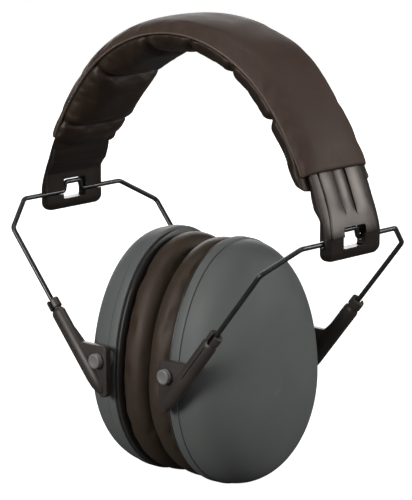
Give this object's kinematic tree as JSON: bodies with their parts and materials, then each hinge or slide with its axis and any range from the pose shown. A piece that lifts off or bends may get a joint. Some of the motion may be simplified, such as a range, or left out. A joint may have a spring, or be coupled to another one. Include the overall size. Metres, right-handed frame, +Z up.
{
  "type": "folding hearing protector",
  "caption": "Passive over-ear hearing protector: two oval ear cups with soft cushions on folding, height-adjustable wire yokes below a padded headband.",
  "frame": {"origin": "bottom centre of the bounding box at rest: midway between the two cups, level with their lowest point", "axes": "+Z up through the headband's crown; +X towards the wearer's left cup; -Y towards the wearer's front"},
  "size_m": [0.1592, 0.0904, 0.188],
  "materials": {
    "band_plastic": "satin black moulded plastic with a soft sheen",
    "band_leatherette": "smooth dark brown-black leatherette",
    "pad_leatherette": "soft dark brown-black leatherette with sewn channels",
    "wire_coating": "black coated spring wire",
    "arm_plastic": "black moulded plastic",
    "cup_plastic": "satin dark grey moulded plastic",
    "pin_plastic": "grey moulded plastic",
    "seal_plastic": "black moulded plastic",
    "cushion_leatherette": "soft dark brown leatherette",
    "foam": "dark open-cell foam"
  },
  "bodies": {
    "headband": {"headband_strap": "band_plastic", "headband_cover": "band_leatherette", "headband_pad": "pad_leatherette"},
    "left_yoke": {"left_yoke_wire": "wire_coating"},
    "left_arms": {"left_front_arm": "arm_plastic", "left_rear_arm": "arm_plastic"},
    "left_cup": {"left_front_pivot_pin": "pin_plastic", "left_rear_pivot_pin": "pin_plastic", "left_cup_shell": "cup_plastic", "left_acoustic_foam": "foam", "left_seal_plate": "seal_plastic", "left_cushion_foam": "foam", "left_cushion_cover": "cushion_leatherette"},
    "right_yoke": {"right_yoke_wire": "wire_coating"},
    "right_arms": {"right_front_arm": "arm_plastic", "right_rear_arm": "arm_plastic"},
    "right_cup": {"right_front_pivot_pin": "pin_plastic", "right_rear_pivot_pin": "pin_plastic", "right_cup_shell": "cup_plastic", "right_acoustic_foam": "foam", "right_seal_plate": "seal_plastic", "right_cushion_foam": "foam", "right_cushion_cover": "cushion_leatherette"}
  },
  "joints": [
    {"name": "left_yoke_swing", "type": "hinge", "parent": "headband", "child": "left_yoke", "pos_m": [0.0761, 0, 0.1085], "axis": [0, -1, 0], "range_deg": [0, 55]},
    {"name": "left_height_slide", "type": "slide", "parent": "left_yoke", "child": "left_arms", "axis": [0.6428, 0, 0.766], "range_m": [0, 0.02]},
    {"name": "left_cup_tilt", "type": "hinge", "parent": "left_arms", "child": "left_cup", "pos_m": [0.01905, 0, 0.052], "axis": [0, 1, 0], "range_deg": [0, 55]},
    {"name": "right_yoke_swing", "type": "hinge", "parent": "headband", "child": "right_yoke", "pos_m": [-0.0761, 0, 0.1085], "axis": [0, 1, 0], "range_deg": [0, 55]},
    {"name": "right_height_slide", "type": "slide", "parent": "right_yoke", "child": "right_arms", "axis": [-0.6428, 0, 0.766], "range_m": [0, 0.02]},
    {"name": "right_cup_tilt", "type": "hinge", "parent": "right_arms", "child": "right_cup", "pos_m": [-0.01905, 0, 0.052], "axis": [0, -1, 0], "range_deg": [0, 55]}
  ],
  "couplings": [
    {"joint": "left_cup_tilt", "follows": "left_yoke_swing", "ratio": 1},
    {"joint": "right_cup_tilt", "follows": "right_yoke_swing", "ratio": 1}
  ]
}
